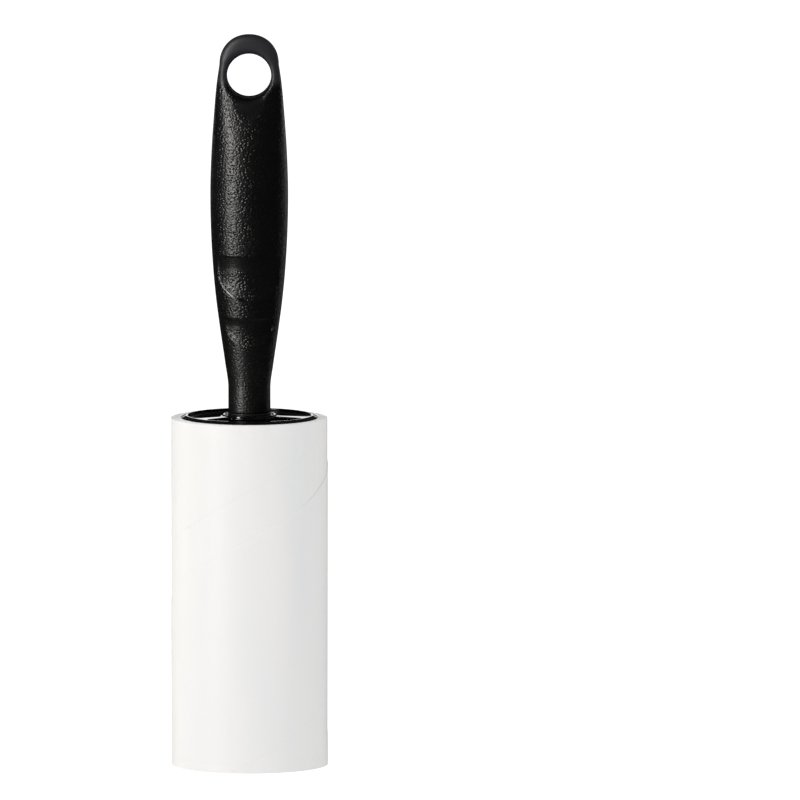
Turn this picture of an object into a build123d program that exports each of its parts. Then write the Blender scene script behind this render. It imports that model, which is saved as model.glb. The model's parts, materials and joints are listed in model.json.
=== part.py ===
from build123d import *
import math
import os

# A refillable adhesive lint roller, standing on the end of its roll with the grip up.
# Millimetres. Origin on the roll's lower end, on the spindle axis. +Z runs up the spindle to
# the grip, and the thumb scallops face -Y.

# Refill roll
ROLL_LENGTH = 100.0
ROLL_RADIUS = 22.5
CORE_BORE_RADIUS = 18.2
CORE_PLY = 0.6
CORE_RADIUS = CORE_BORE_RADIUS + 2 * CORE_PLY
SHEET_COUNT = 24
SHEET_THICKNESS = (ROLL_RADIUS - CORE_RADIUS) / SHEET_COUNT
SHEET_INSET = 0.15  # the wound sheets end this far inside the core's ends
COLLIDING_SHEET = 2  # this one runs the full length, so it meets the floor
TEAR_SLIT = 0.3  # gap between the end of one sheet and the start of the next
TEAR_PITCH = 78.0  # rise of the slanted tear line in one turn
TEAR_FRONT_Z = 67.0  # height of the outermost tear line at the front
TEAR_ADVANCE = -65.0  # degrees that the tear line moves round on each further turn

# Grip: rows of height, half width along X, half depth along Y and squareness, where 2 is an
# ellipse and more is a rounder rectangle
NECK_RADIUS = 6.05
NECK_BOTTOM = 101.5
TAB_RADIUS = 8.5
GRIP_TOP = 210.1
TAB_CENTRE_Z = GRIP_TOP - TAB_RADIUS
TAB_HALF_DEPTH = 3.9
TAB_SQUARENESS = 3.4
GRIP_SECTIONS = [
    (NECK_BOTTOM, NECK_RADIUS, NECK_RADIUS, 2.0),
    (108.5, NECK_RADIUS, NECK_RADIUS, 2.0),
    (116.0, 6.98, 6.68, 2.0),
    (125.0, 8.29, 7.68, 2.0),
    (135.0, 9.60, 8.76, 2.0),
    (148.0, 10.68, 9.62, 2.0),
    (164.0, 11.15, 10.02, 2.02),
    (178.0, 10.72, 9.28, 2.1),
    (188.0, 10.02, 6.98, 2.4),
    (196.0, 9.30, 4.76, 2.9),
    (TAB_CENTRE_Z, TAB_RADIUS, TAB_HALF_DEPTH, TAB_SQUARENESS),
]
TAB_END_ANGLES = (30, 60, 84)
OUTLINE_POINTS = 32
HOLE_Z = 198.4
HOLE_RADIUS = 6.35
HOLE_WALL = 6.4  # straight wall between the two flared rims
SCALLOPS = [  # height of the cut's middle, its depth, its vertical radius, its sideways radius
    (141.0, 1.40, 17.0, 14.5),
    (126.8, 1.10, 17.0, 12.0),
]
CAVITY_WALL = 2.2
CAVITY_Z = (152.0, 164.0, 174.0, 182.0)
PEG_RADIUS = 1.5
PEG_LENGTH = 3.5
PEG_CLEARANCE = 0.05
PEG_PLACES = [(-6.0, 143.0), (6.0, 143.0), (-5.2, 188.0), (5.2, 188.0)]

# Spindle and what locks it
JOURNAL_RADIUS = 3.9
SHANK_RADIUS = 3.4
LOWER_JOURNAL_RADIUS = 3.0
SPINDLE_BOTTOM = 3.6
LOWER_JOURNAL_TOP = 17.0
UPPER_JOURNAL_BOTTOM = 88.0
TANG_SIDE = 6.4
TANG_BOTTOM = 112.0
TANG_TOP = 134.0
LOCK_PIN_RADIUS = 1.5
LOCK_PIN_LENGTH = 13.0
LOCK_PIN_Z = 124.0
RUNNING_CLEARANCE = 0.08
SEAT_CLEARANCE = 0.05
WASHER_THICKNESS = 0.5
CLIP_THICKNESS = 0.8
CLIP_RADIUS = 5.6
GROOVE_RADIUS = 2.4
GROOVE_SLACK = 0.1

# Roller head
FLANGE_RADIUS = 19.65
FLANGE_FACE_RADIUS = 18.6  # outside this the top slopes down to the upright edge
FLANGE_EDGE_TOP = 100.3
FLANGE_TOP = 100.75
WINDOW_INNER = 8.8
WINDOW_OUTER = 17.6
WINDOW_SWEEP = 106.0  # degrees
WINDOW_CENTRES = (38.0, 158.0, 278.0)
WINDOW_CORNER = 1.6
HUB_RADIUS = 6.6
HUB_TOP = NECK_BOTTOM - WASHER_THICKNESS
COLLAR_INNER = 6.9
COLLAR_OUTER = 7.7
COLLAR_TOP = 101.0
SPOKE_RIB_WIDTH = 1.6
HUB_BOTTOM = 90.0
SPIGOT_LENGTH = 8.0
SPIGOT_WALL = 1.4
BARREL_RADIUS = 17.85
BARREL_WALL = 1.6
BARREL_BOTTOM = 10.0
BARREL_SLOTS = 6
SLOT_SWEEP = 38.0
SLOT_BOTTOM = 22.0
SLOT_TOP = 88.0
FINGER_SWEEP = 22.0
FINGER_BOTTOM = 30.0
FINGER_PAD_RADIUS = 18.0
FINGER_PAD_Z = 35.0
CAP_BOTTOM = 2.0
CAP_LEAD_RADIUS = 16.4
CAP_LEAD_TOP = 6.0
CAP_WEB_BOTTOM = 7.0
CAP_WEB_TOP = 8.6
CAP_HUB_TOP = 16.0
CAP_RIBS = 6
CAP_RIB_WIDTH = 1.4

FAR = 60.0  # longer than any cut has to reach


def disc(radius, low, high):
    """A round slab on the spindle axis."""
    return Pos(0, 0, low) * Cylinder(
        radius, high - low, align=(Align.CENTER, Align.CENTER, Align.MIN)
    )


def ring(inner, outer, low, high):
    """A round slab with a round hole."""
    return disc(outer, low, high) - disc(inner, low - 1, high + 1)


def sector(inner, outer, low, high, middle, sweep):
    """The part of a ring that lies within an angle of sweep degrees, about its middle angle."""
    reach = 2 * outer
    half = math.radians(sweep / 2)
    wedge = Polyline(
        (0, 0),
        (reach * math.cos(half), -reach * math.sin(half)),
        (reach * math.cos(half), reach * math.sin(half)),
        close=True,
    )
    prism = extrude(make_face(wedge), amount=high - low)
    prism = Pos(0, 0, low) * Rot(0, 0, middle) * prism
    return ring(inner, outer, low, high) & prism


def box(width, depth, low, high, x=0.0, y=0.0):
    """An upright block whose lower and upper heights are given."""
    return Pos(x, y, low) * Box(
        width, depth, high - low, align=(Align.CENTER, Align.CENTER, Align.MIN)
    )


def cross_cylinder(radius, length, x, z, y=0.0):
    """A round bar along Y."""
    return Pos(x, y, z) * Rot(90, 0, 0) * Cylinder(radius, length)


# Grip


def grip_outline(half_width, half_depth, squareness):
    """The closed outline of one cross-section, from an ellipse to a rounded rectangle."""
    points = []
    for number in range(OUTLINE_POINTS):
        angle = 2 * math.pi * number / OUTLINE_POINTS
        across = math.copysign(abs(math.cos(angle)) ** (2 / squareness), math.cos(angle))
        along = math.copysign(abs(math.sin(angle)) ** (2 / squareness), math.sin(angle))
        points.append((half_width * across, half_depth * along))
    return make_face(Spline(*points, periodic=True))


def grip_size(height):
    """Half width, half depth and squareness at a height, straight between the sections."""
    for lower, upper in zip(GRIP_SECTIONS, GRIP_SECTIONS[1:]):
        if lower[0] <= height <= upper[0]:
            share = (height - lower[0]) / (upper[0] - lower[0])
            return [a + share * (b - a) for a, b in zip(lower[1:], upper[1:])]
    raise ValueError("no section at that height")


def tab_end_sections():
    """Sections up the round end of the hanging tab, as wide and deep as its edge leaves them."""
    rows = []
    for angle in TAB_END_ANGLES:
        rise = math.sin(math.radians(angle))
        depth = TAB_HALF_DEPTH * (1 - rise**TAB_SQUARENESS) ** (1 / TAB_SQUARENESS)
        height = TAB_CENTRE_Z + TAB_RADIUS * rise
        half_width = TAB_RADIUS * math.cos(math.radians(angle))
        rows.append((height, half_width, depth, 2 + (TAB_SQUARENESS - 2) * (1 - rise)))
    return rows


def grip_blank():
    """The closed outer shape of the grip, with its tab, scallops and hanging hole."""
    rows = GRIP_SECTIONS + tab_end_sections()
    body = loft([Pos(0, 0, row[0]) * grip_outline(*row[1:]) for row in rows])
    for middle, depth, tall, wrap in SCALLOPS:
        front = grip_size(middle)[1]
        body -= Pos(0, wrap + depth - front, middle) * Torus(tall + wrap, tall)
    return body - hanging_hole()


def hanging_hole():
    """The cutter for the hanging hole: a straight bore that flares at both faces."""
    flare = 4.0
    half = cross_cylinder(HOLE_RADIUS, HOLE_WALL, 0, HOLE_Z)
    for side in (-1, 1):
        cone = Cone(HOLE_RADIUS, HOLE_RADIUS + flare, flare)
        half += Pos(0, side * (HOLE_WALL + flare) / 2, HOLE_Z) * Rot(-90 * side, 0, 0) * cone
    return half


def grip_cavity():
    """The hollow that keeps the grip's walls thin."""
    sections = []
    for height in CAVITY_Z:
        half_width, half_depth, squareness = grip_size(height)
        outline = grip_outline(half_width - CAVITY_WALL, half_depth - CAVITY_WALL, squareness)
        sections.append(Pos(0, 0, height) * outline)
    return loft(sections)


def spindle_socket():
    """The space in the neck for the spindle's journal, tang and lock pin."""
    journal = disc(JOURNAL_RADIUS + SEAT_CLEARANCE, NECK_BOTTOM - 1, TANG_BOTTOM)
    side = TANG_SIDE + 2 * SEAT_CLEARANCE
    tang = box(side, side, TANG_BOTTOM, TANG_TOP + SEAT_CLEARANCE)
    return journal + tang + lock_pin()


def grip_shells():
    """The two halves of the grip, parted on the plane y = 0 and located by four pegs."""
    whole = grip_blank() - grip_cavity() - spindle_socket()
    half = Box(4 * FAR, 2 * FAR, 4 * FAR, align=(Align.CENTER, Align.MAX, Align.MIN))
    front = whole & half
    rear = whole - half
    for x, z in PEG_PLACES:
        front += cross_cylinder(PEG_RADIUS, PEG_LENGTH, x, z, y=PEG_LENGTH / 2)
        depth = PEG_LENGTH + PEG_CLEARANCE
        rear -= cross_cylinder(PEG_RADIUS + PEG_CLEARANCE, depth, x, z, y=depth / 2)
    return front, rear


# Spindle


def spindle():
    """Stepped shaft: square tang in the neck, two journals and a clip groove."""
    body = disc(LOWER_JOURNAL_RADIUS, SPINDLE_BOTTOM, LOWER_JOURNAL_TOP)
    body += disc(SHANK_RADIUS, LOWER_JOURNAL_TOP, UPPER_JOURNAL_BOTTOM)
    body += disc(JOURNAL_RADIUS, UPPER_JOURNAL_BOTTOM, TANG_BOTTOM)
    body += box(TANG_SIDE, TANG_SIDE, TANG_BOTTOM, TANG_TOP)
    groove_top = CAP_WEB_BOTTOM - WASHER_THICKNESS
    groove_bottom = groove_top - CLIP_THICKNESS - GROOVE_SLACK
    body -= ring(GROOVE_RADIUS, 2 * GROOVE_RADIUS, groove_bottom, groove_top)
    body = chamfer(body.edges().group_by(Axis.Z)[0], 0.5)
    return body - lock_pin()


def lock_pin():
    return Pos(0, 0, LOCK_PIN_Z) * Rot(0, 90, 0) * Cylinder(LOCK_PIN_RADIUS, LOCK_PIN_LENGTH)


def upper_washer():
    return ring(JOURNAL_RADIUS + SEAT_CLEARANCE, HUB_RADIUS - 0.4, HUB_TOP, NECK_BOTTOM)


def lower_washer():
    inner = LOWER_JOURNAL_RADIUS + SEAT_CLEARANCE
    return ring(inner, HUB_RADIUS, CAP_WEB_BOTTOM - WASHER_THICKNESS, CAP_WEB_BOTTOM)


def retaining_clip():
    """Push-on clip: a flat ring whose inner teeth bite in the spindle's groove."""
    top = CAP_WEB_BOTTOM - WASHER_THICKNESS
    low = top - CLIP_THICKNESS
    clip = ring(GROOVE_RADIUS + SEAT_CLEARANCE, CLIP_RADIUS, low, top)
    for turn in range(6):
        slot = box(1.6, 0.7, low - 1, top + 1, x=GROOVE_RADIUS + 0.8)
        clip -= Rot(0, 0, 60 * turn) * slot
    return clip


# Roller head


def window(middle):
    """The cutter for one of the flange's windows, with rounded corners."""
    shape = sector(
        WINDOW_INNER, WINDOW_OUTER, ROLL_LENGTH - 1, FLANGE_TOP + 1, middle, WINDOW_SWEEP
    )
    return fillet(shape.edges().filter_by(Axis.Z), WINDOW_CORNER)


def head_flange():
    """Top disc: stop for the refill, with a sloping edge, three windows, a collar and the hub."""
    slope = Cone(FLANGE_RADIUS, FLANGE_FACE_RADIUS, FLANGE_TOP - FLANGE_EDGE_TOP)
    body = disc(FLANGE_RADIUS, ROLL_LENGTH, FLANGE_EDGE_TOP)
    body += Pos(0, 0, (FLANGE_EDGE_TOP + FLANGE_TOP) / 2) * slope
    body += ring(COLLAR_INNER, COLLAR_OUTER, FLANGE_TOP - 0.1, COLLAR_TOP)
    body += disc(HUB_RADIUS, HUB_BOTTOM, HUB_TOP)
    body += disc(COLLAR_OUTER, ROLL_LENGTH - 2, ROLL_LENGTH)
    spigot_outer = BARREL_RADIUS - BARREL_WALL - SEAT_CLEARANCE
    spigot_low = ROLL_LENGTH - SPIGOT_LENGTH
    body += ring(spigot_outer - SPIGOT_WALL, spigot_outer, spigot_low, ROLL_LENGTH)
    inside = HUB_RADIUS - 1
    outside = spigot_outer - 0.5
    rib = box(outside - inside, SPOKE_RIB_WIDTH, spigot_low, ROLL_LENGTH + 0.1)
    rib = Pos((inside + outside) / 2, 0, 0) * rib
    for middle in WINDOW_CENTRES:
        body -= window(middle)
        body += Rot(0, 0, middle + 60) * rib
    body -= disc(JOURNAL_RADIUS + RUNNING_CLEARANCE, HUB_BOTTOM - 1, HUB_TOP + 1)
    return body


def head_barrel():
    """Sleeve for the refill: six slots leave staves, and three slots hold a grip finger."""
    inner = BARREL_RADIUS - BARREL_WALL
    top = ROLL_LENGTH - SEAT_CLEARANCE
    body = ring(inner, BARREL_RADIUS, BARREL_BOTTOM, top)
    for number in range(BARREL_SLOTS):
        middle = 360 / BARREL_SLOTS * number
        body -= sector(inner - 1, BARREL_RADIUS + 1, SLOT_BOTTOM, SLOT_TOP, middle, SLOT_SWEEP)
    for number in range(0, BARREL_SLOTS, 2):
        middle = 360 / BARREL_SLOTS * number
        body += sector(inner, BARREL_RADIUS, FINGER_BOTTOM, SLOT_TOP + 1, middle, FINGER_SWEEP)
        pad_top = FINGER_PAD_Z + 6
        pad_inner = BARREL_RADIUS - 0.2
        body += sector(pad_inner, FINGER_PAD_RADIUS, FINGER_PAD_Z, pad_top, middle, FINGER_SWEEP)
    return body


def head_end_cap():
    """Lower end: cone that leads the refill on, web, ribs and the second bearing."""
    cone = Pos(0, 0, (CAP_BOTTOM + CAP_LEAD_TOP) / 2) * Cone(
        CAP_LEAD_RADIUS, BARREL_RADIUS, CAP_LEAD_TOP - CAP_BOTTOM
    )
    skirt_inner = BARREL_RADIUS - 2.4
    body = cone + disc(BARREL_RADIUS, CAP_LEAD_TOP, BARREL_BOTTOM)
    spigot = BARREL_RADIUS - BARREL_WALL - SEAT_CLEARANCE
    body += disc(spigot, BARREL_BOTTOM, BARREL_BOTTOM + SPIGOT_LENGTH)
    body -= disc(skirt_inner, CAP_BOTTOM - 1, CAP_WEB_BOTTOM)
    body -= disc(spigot - SPIGOT_WALL, CAP_WEB_TOP, BARREL_BOTTOM + SPIGOT_LENGTH + 1)
    for number in range(CAP_RIBS):
        rib = box(skirt_inner - 8, CAP_RIB_WIDTH, CAP_BOTTOM + 1.5, CAP_WEB_BOTTOM)
        rib = Pos((skirt_inner + 8.2) / 2, 0, 0) * rib
        body += Rot(0, 0, 360 / CAP_RIBS * number) * rib
    body += disc(HUB_RADIUS, CAP_WEB_TOP - 0.1, CAP_HUB_TOP)
    bore = LOWER_JOURNAL_RADIUS + RUNNING_CLEARANCE
    return body - disc(bore, CAP_WEB_BOTTOM - 1, CAP_HUB_TOP + 1)


# Refill roll


def core_ply(number):
    """One ply of the kraft board tube, counted from the bore."""
    inner = CORE_BORE_RADIUS + number * CORE_PLY
    return ring(inner, inner + CORE_PLY, 0, ROLL_LENGTH)


def sheet(number):
    """One turn of adhesive sheet, counted from the outside, open at its slanted tear line."""
    outer = ROLL_RADIUS - (number - 1) * SHEET_THICKNESS
    inset = 0.0 if number == COLLIDING_SHEET else SHEET_INSET
    body = ring(outer - SHEET_THICKNESS, outer, inset, ROLL_LENGTH - inset)
    return body - tear_line(outer, TEAR_ADVANCE * (number - 1))


def tear_line(radius, advance):
    """The thin helical cut where one sheet ends and the next begins."""
    overrun = 4.0
    front = -90 - 360 * (TEAR_FRONT_Z + overrun) / TEAR_PITCH
    helix = Edge.make_helix(TEAR_PITCH, ROLL_LENGTH + 2 * overrun, radius - 0.5)
    path = Pos(0, 0, -overrun) * Rot(0, 0, front + advance) * helix
    start = path @ 0
    outward = Vector(start.X, start.Y, 0).normalized()
    section = Plane(origin=start, x_dir=outward, z_dir=path % 0) * Rectangle(4.0, TEAR_SLIT)
    return sweep(section, path=path, is_frenet=True)


def main():
    front, rear = grip_shells()
    nodes = {
        "grip_front_shell": front,
        "grip_rear_shell": rear,
        "spindle": spindle(),
        "spindle_lock_pin": lock_pin(),
        "upper_thrust_washer": upper_washer(),
        "lower_thrust_washer": lower_washer(),
        "retaining_clip": retaining_clip(),
        "head_flange": head_flange(),
        "head_barrel": head_barrel(),
        "head_end_cap": head_end_cap(),
        "core_inner_ply": core_ply(0),
        "core_outer_ply": core_ply(1),
    }
    for number in range(1, SHEET_COUNT + 1):
        nodes[f"sheet_{number:02d}"] = sheet(number)
    os.makedirs("parts", exist_ok=True)
    for name, shape in nodes.items():
        export_step(shape, f"parts/{name}.step")


main()
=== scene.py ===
import json
import math

import bpy
import numpy as np
import openvdb
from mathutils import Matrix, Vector


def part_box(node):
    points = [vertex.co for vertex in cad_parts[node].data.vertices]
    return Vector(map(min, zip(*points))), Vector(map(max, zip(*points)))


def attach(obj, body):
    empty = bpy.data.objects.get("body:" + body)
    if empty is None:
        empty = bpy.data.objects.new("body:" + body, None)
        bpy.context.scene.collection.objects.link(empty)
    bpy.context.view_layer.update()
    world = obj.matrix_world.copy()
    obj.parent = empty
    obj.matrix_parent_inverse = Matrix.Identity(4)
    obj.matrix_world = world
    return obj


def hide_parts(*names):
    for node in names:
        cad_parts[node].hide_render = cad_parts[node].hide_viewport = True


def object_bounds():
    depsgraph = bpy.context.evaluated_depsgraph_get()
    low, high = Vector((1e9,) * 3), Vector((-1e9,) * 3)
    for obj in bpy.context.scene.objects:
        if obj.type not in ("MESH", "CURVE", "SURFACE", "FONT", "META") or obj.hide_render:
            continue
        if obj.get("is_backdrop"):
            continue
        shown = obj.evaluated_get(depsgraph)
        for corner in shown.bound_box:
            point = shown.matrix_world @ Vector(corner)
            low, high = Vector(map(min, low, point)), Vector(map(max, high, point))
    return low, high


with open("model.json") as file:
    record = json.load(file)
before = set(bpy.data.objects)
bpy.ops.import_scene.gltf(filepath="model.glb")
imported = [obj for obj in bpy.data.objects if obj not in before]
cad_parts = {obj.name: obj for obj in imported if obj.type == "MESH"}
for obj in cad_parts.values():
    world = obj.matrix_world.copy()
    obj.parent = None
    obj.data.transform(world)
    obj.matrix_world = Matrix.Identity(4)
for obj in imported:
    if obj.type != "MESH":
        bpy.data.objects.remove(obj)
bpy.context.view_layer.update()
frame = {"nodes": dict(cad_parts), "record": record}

# A refillable adhesive lint roller. Shapes are worked out in millimetres, and MM turns them into
# the metres that meshes, materials, lights and the camera are in. Heights start at the roll's
# lower end.
MM = 0.001


def span(node):
    """The heights of a CAD node's two ends, and its half width, in millimetres."""
    low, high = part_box(node)
    return low.z / MM, high.z / MM, high.x / MM


# Roll
_, _, ROLL_RADIUS = span("sheet_01")
_, ROLL_LENGTH, PLY_RADIUS = span("core_inner_ply")
_, _, CORE_RADIUS = span("core_outer_ply")
BORE_RADIUS = 18.2
SHEET_COUNT = sum(name.startswith("sheet_") for name in frame["nodes"])
SHEET_BOTTOM = 0.02
SHEET_TOP = ROLL_LENGTH - 0.03  # just clear of the flange

# Grip
MOUNTS = {mount["name"]: mount for mount in frame["record"]["mounts"]}
NECK_BOTTOM, GRIP_TOP, _ = span("grip_front_shell")
NECK_RADIUS = 6.05
TAB_RADIUS = 8.5
TAB_ROUNDNESS = 2.1  # 2 is a circle
TAB_CENTRE_Z = GRIP_TOP - TAB_RADIUS
HOLE_Z = MOUNTS["hanging_hole"]["pos_m"][2] / MM
HOLE_RADIUS = 6.3
# Rows of height, half width, half depth and squareness, where 2 is an ellipse
GRIP_SECTIONS = np.array(
    [
        (NECK_BOTTOM, NECK_RADIUS, NECK_RADIUS, 2.0),
        (108.5, NECK_RADIUS, NECK_RADIUS, 2.0),
        (116.0, 6.98, 6.68, 2.0),
        (125.0, 8.29, 7.68, 2.0),
        (135.0, 9.60, 8.76, 2.0),
        (148.0, 10.68, 9.62, 2.0),
        (164.0, 11.15, 10.02, 2.02),
        (178.0, 10.72, 9.28, 2.1),
        (188.0, 10.02, 6.98, 2.4),
        (196.0, 9.30, 4.76, 2.9),
        (TAB_CENTRE_Z, TAB_RADIUS, 3.9, 4.6),
    ]
)
# Thumb dishes, each below a straight top edge and above a ledge that is half an ellipse: height
# of the ellipse's middle, its reach downwards, its half width, height of the top edge, depth
DISHES = [(141.7, 7.5, 8.9, 147.1, 1.4), (126.4, 5.4, 6.6, 129.1, 1.0)]
LEDGE_ROUND = 0.045  # rounding of the ledge, as a share of the dish's height
LEDGE_POWER = 0.7  # of the fall from the ledge: less is steeper
SIDE_POWER = 0.4  # of the fall from the sides
DISH_GAIN = 2.9  # brings the deepest place of the profile to about the depth
CAVITY_WALL = 2.2
CAVITY_BOTTOM, CAVITY_TOP = 152.0, 182.0
PEGS = [(-6.0, 143.0), (6.0, 143.0), (-5.2, 188.0), (5.2, 188.0)]  # x and z
PEG_RADIUS = 1.5
PEG_LENGTH = 3.5
PEG_ROOT = 0.5  # how far a peg runs back into the front shell
PEG_GAP = 0.05

# Spindle and what holds it
SPINDLE_BOTTOM, TANG_TOP, JOURNAL_RADIUS = span("spindle")
PIN_BOTTOM, PIN_TOP, PIN_HALF_LENGTH = span("spindle_lock_pin")
CLIP_BOTTOM, CLIP_TOP, CLIP_RADIUS = span("retaining_clip")
PIN_RADIUS = (PIN_TOP - PIN_BOTTOM) / 2
PIN_Z = (PIN_TOP + PIN_BOTTOM) / 2
LOWER_JOURNAL_RADIUS = 3.0
SHANK_RADIUS = 3.4
TANG_HALF_SIDE = 3.2
TANG_BOTTOM = 112.0
TANG_ROOT = 111.0
CLIP_GROOVE_RADIUS = 2.4
CLIP_GROOVE_BOTTOM = CLIP_BOTTOM - 0.1
CLIP_SLOT_END = 4.0
CLIP_SLOT_HALF_WIDTH = 0.35
SEAT_GAP = 0.05
RUNNING_GAP = 0.08
# Round steps: radius, lower and upper end, edge. Each runs a little into the next.
SPINDLE_STEPS = [
    (LOWER_JOURNAL_RADIUS, SPINDLE_BOTTOM, 17.5, 0.9),
    (SHANK_RADIUS, 17.0, 88.0, 0.5),
    (JOURNAL_RADIUS, 87.9, TANG_BOTTOM, 0.5),
]

# Roller head
HUB_BOTTOM, HUB_TOP, FLANGE_RADIUS = span("head_flange")
BARREL_BOTTOM, _, PAD_RADIUS = span("head_barrel")
CAP_BOTTOM, CAP_TOP, BARREL_RADIUS = span("head_end_cap")
FLANGE_HEIGHT = 0.75
FLANGE_FLAT_RADIUS = 18.2  # outside this the top slopes down
EDGE_FULLNESS = 1.08  # of the flange's sloping edge: 1 is a cone, 2 is a quarter round
WINDOW_INNER, WINDOW_OUTER = 8.4, 17.6
WINDOW_SWEEP = 106.0  # degrees
WINDOW_CENTRES = (38.0, 158.0, 278.0)  # degrees
WINDOW_CORNER = 1.6
WINDOW_BOTTOM = ROLL_LENGTH - 1
HUB_RADIUS = 6.6
COLLAR_INNER, COLLAR_OUTER = 6.9, 7.62
COLLAR_LEAN = 0.18  # growth of the collar's radius for each millimetre down
COLLAR_FOOT_RADIUS = 8.3
COLLAR_BOTTOM = 98.0
GROOVE_RADIUS = 8.45  # of the groove round the collar
GROOVE_FLOOR = 100.35
SPOKE_INNER, SPOKE_OUTER = 5.6, 15.7
SPOKE_HALF_WIDTH = 0.8
SPOKE_TOP = ROLL_LENGTH + 0.5
SPIGOT_BORE, SPIGOT_RADIUS = 14.8, 16.2
SPIGOT_BOTTOM, SPIGOT_TOP = 92.0, ROLL_LENGTH + 0.4
BARREL_BORE = 16.25
BARREL_TOP = ROLL_LENGTH - 0.03
SLOT_BOTTOM, SLOT_TOP = 22.0, 88.0
SLOT_HALF_SWEEP = 19.0  # degrees
FINGER_BOTTOM, FINGER_TOP = 30.0, 89.0
FINGER_HALF_SWEEP = 11.0  # degrees
PAD_INNER = 17.0
PAD_BOTTOM, PAD_TOP = 35.0, 41.0
CAP_LEAD_RADIUS = 16.4
CAP_LEAD_TOP = 6.0
CAP_SKIRT_BORE = 15.45
CAP_WEB_BOTTOM, CAP_WEB_TOP = 7.0, 8.6
CAP_HUB_TOP = 16.0
CAP_RIB_BOTTOM, CAP_RIB_TOP = 3.5, 7.2
CAP_RIB_INNER, CAP_RIB_OUTER = 7.9, 16.0
CAP_RIB_HALF_WIDTH = 0.7
OVERLAP = 0.1  # how far the cap's hub and spigot run into what they stand on


# Distance fields. Each takes coordinates in millimetres and is negative inside.


def blend_max(a, b, edge):
    """The larger of two fields, with the corner between them rounded by about edge."""
    return np.maximum(a, b) + np.maximum(edge - np.abs(a - b), 0) ** 2 / (4 * edge)


def blend_min(a, b, edge):
    """The smaller of two fields, with the corner between them filled by about edge."""
    return -blend_max(-a, -b, edge)


def cut(body, tool, edge):
    """body with tool taken away, its new edges rounded."""
    return blend_max(body, -tool, edge)


def slab(z, low, high):
    return np.maximum(low - z, z - high)


def tube(r, inner, outer, z, low, high, edge):
    """A ring with rounded edges."""
    return blend_max(np.maximum(inner - r, r - outer), slab(z, low, high), edge)


def drum(r, radius, z, low, high, edge):
    """A solid round with rounded edges."""
    return blend_max(r - radius, slab(z, low, high), edge)


def polar(x, y):
    return np.sqrt(x * x + y * y), np.arctan2(y, x)


def from_nearest(turn, count, first=0.0):
    """The angle from the nearest of count even directions, one of which is at first."""
    step = 2 * math.pi / count
    return (turn - first + step / 2) % step - step / 2


def window(r, turn, middle):
    """One window of the flange, a sector of a ring with rounded corners, as seen along Z."""
    off = np.abs(from_nearest(turn, 1, math.radians(middle)))
    across = np.abs(r - (WINDOW_INNER + WINDOW_OUTER) / 2) - (WINDOW_OUTER - WINDOW_INNER) / 2
    across = across + WINDOW_CORNER
    along = r * (off - math.radians(WINDOW_SWEEP / 2)) + WINDOW_CORNER
    outside = np.hypot(np.maximum(across, 0), np.maximum(along, 0))
    return outside + np.minimum(np.maximum(across, along), 0) - WINDOW_CORNER


def smooth_rows(rows, at):
    """Values at the given heights, on a smooth curve through the rows, level where they turn."""
    heights, values = rows[:, 0], rows[:, 1:]
    gap = np.diff(heights)[:, None]
    slope = np.diff(values, axis=0) / gap
    before, after = slope[:-1], slope[1:]
    mean = (before * gap[1:] + after * gap[:-1]) / (gap[:-1] + gap[1:])
    inner = np.where(before * after > 0, mean, 0)
    ends = np.vstack([slope[:1] * 0, inner, slope[-1:]])
    spot = np.clip(np.searchsorted(heights, at) - 1, 0, len(heights) - 2)
    share = np.clip((at - heights[spot]) / gap[spot, 0], 0, 1)[..., None]
    low, high = values[spot], values[spot + 1]
    run = gap[spot]
    made = (
        (1 + 2 * share) * (1 - share) ** 2 * low
        + share**2 * (3 - 2 * share) * high
        + share * (1 - share) ** 2 * run * ends[spot]
        - share**2 * (1 - share) * run * ends[spot + 1]
    )
    return np.moveaxis(made, -1, 0)


def grip_blank(x, y, z):
    """The grip's outer shape, without its dishes and hole."""
    half_width, half_depth, power = smooth_rows(GRIP_SECTIONS, np.minimum(z, TAB_CENTRE_Z))
    tiny = 1e-6  # keeps the powers away from zero
    rise = np.maximum(z - TAB_CENTRE_Z, 0)
    across = (np.abs(x) ** TAB_ROUNDNESS + rise**TAB_ROUNDNESS) ** (1 / TAB_ROUNDNESS) + tiny
    along = np.abs(y) + tiny
    reach = ((across / half_width) ** power + (along / half_depth) ** power) ** (1 / power)
    steep = reach ** (1 - power) * np.hypot(
        across ** (power - 1) / half_width**power, along ** (power - 1) / half_depth**power
    )
    return (reach - 1) / steep


def dish_depth(x, z):
    """How deep the thumb dishes are at a place on the grip's front."""
    total = 0.0
    for middle, drop, half_width, top, depth in DISHES:
        inside = np.maximum(1 - (x / half_width) ** 2, 0)
        ledge = middle - drop * np.sqrt(inside)
        share = np.clip((z - ledge) / (top - ledge), 0, 1)
        rise = (share**2 + LEDGE_ROUND**2) ** (LEDGE_POWER / 2) - LEDGE_ROUND**LEDGE_POWER
        total = total + depth * inside**SIDE_POWER * DISH_GAIN * rise * (1 - share)
    return total


def peg(x, y, z, gap):
    """The four locating pegs, which stand on the front shell and enter the rear one."""
    near = [np.hypot(x - peg_x, z - peg_z) for peg_x, peg_z in PEGS]
    round_wall = np.minimum.reduce(near) - PEG_RADIUS - gap
    return np.maximum(round_wall, slab(y, -PEG_ROOT, PEG_LENGTH + gap))


def pin_wall(y, z):
    """The round wall of the lock pin and of its hole, along X."""
    return np.hypot(y, z - PIN_Z) - PIN_RADIUS


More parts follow.
